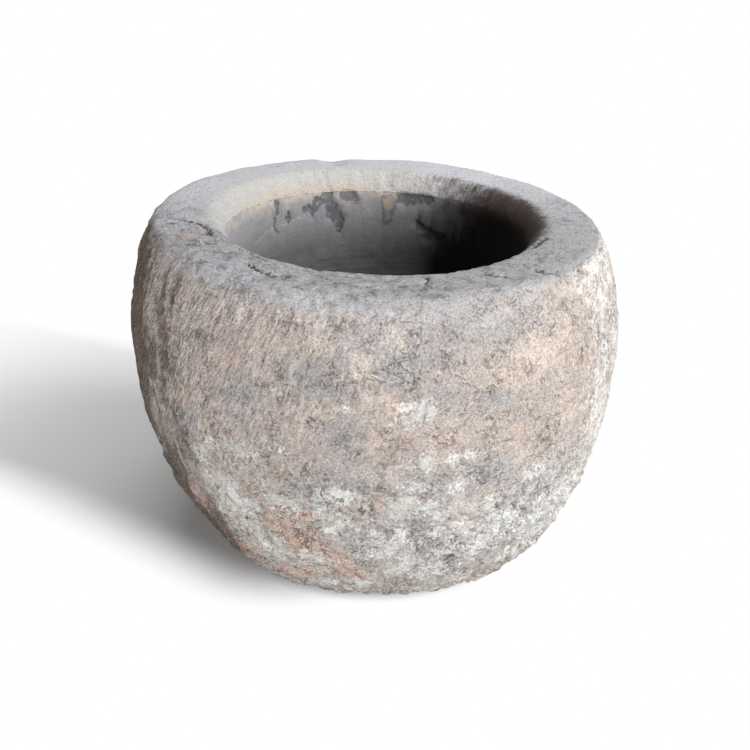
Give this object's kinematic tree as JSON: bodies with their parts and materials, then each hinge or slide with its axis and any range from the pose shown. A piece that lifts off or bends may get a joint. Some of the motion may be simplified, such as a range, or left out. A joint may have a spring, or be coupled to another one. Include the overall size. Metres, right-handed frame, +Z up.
{
  "type": "stone trough",
  "caption": "Round hewn stone trough with a thick sloping rim, a flared lip and a smooth deep bowl, patched with lime crust; holds water, plants or ground grain.",
  "frame": {"origin": "on the ground under the middle of the trough", "axes": "+Z up, -Y towards the front as pictured, +X to the right along the wider way"},
  "size_m": [0.4559, 0.4425, 0.3305],
  "materials": {
    "weathered_stone": "rough hewn, worn",
    "lime_crust": "chalky crust"
  },
  "bodies": {
    "root": {"stone_block": "weathered_stone", "lime_crust": "lime_crust"}
  },
  "joints": []
}
